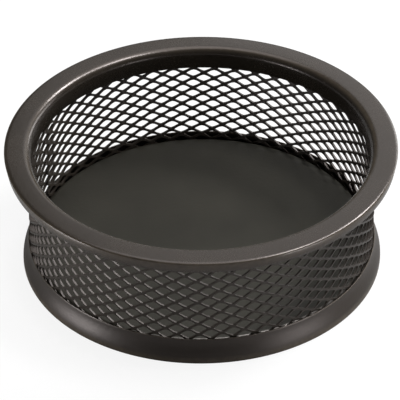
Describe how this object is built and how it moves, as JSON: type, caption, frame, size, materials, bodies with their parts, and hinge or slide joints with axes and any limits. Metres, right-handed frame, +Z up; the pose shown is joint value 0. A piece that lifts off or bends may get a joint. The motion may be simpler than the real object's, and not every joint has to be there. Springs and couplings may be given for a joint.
{
  "type": "paper clip bowl",
  "caption": "Low round desk bowl for paper clips, with an expanded-metal wall between a flanged rim and a flared base ring, and a flat floor.",
  "frame": {"origin": "middle of the base, on the surface that the bowl stands on", "axes": "+Z up along the bowl's axis"},
  "size_m": [0.095, 0.095, 0.0325],
  "materials": {
    "rim_coat": "satin black powder coat",
    "mesh_coat": "satin black powder coat",
    "base_coat": "satin black powder coat",
    "pan_coat": "matt black powder coat"
  },
  "bodies": {
    "root": {"top_rim": "rim_coat", "mesh_wall": "mesh_coat", "base_ring": "base_coat", "base_pan": "pan_coat"}
  },
  "joints": []
}
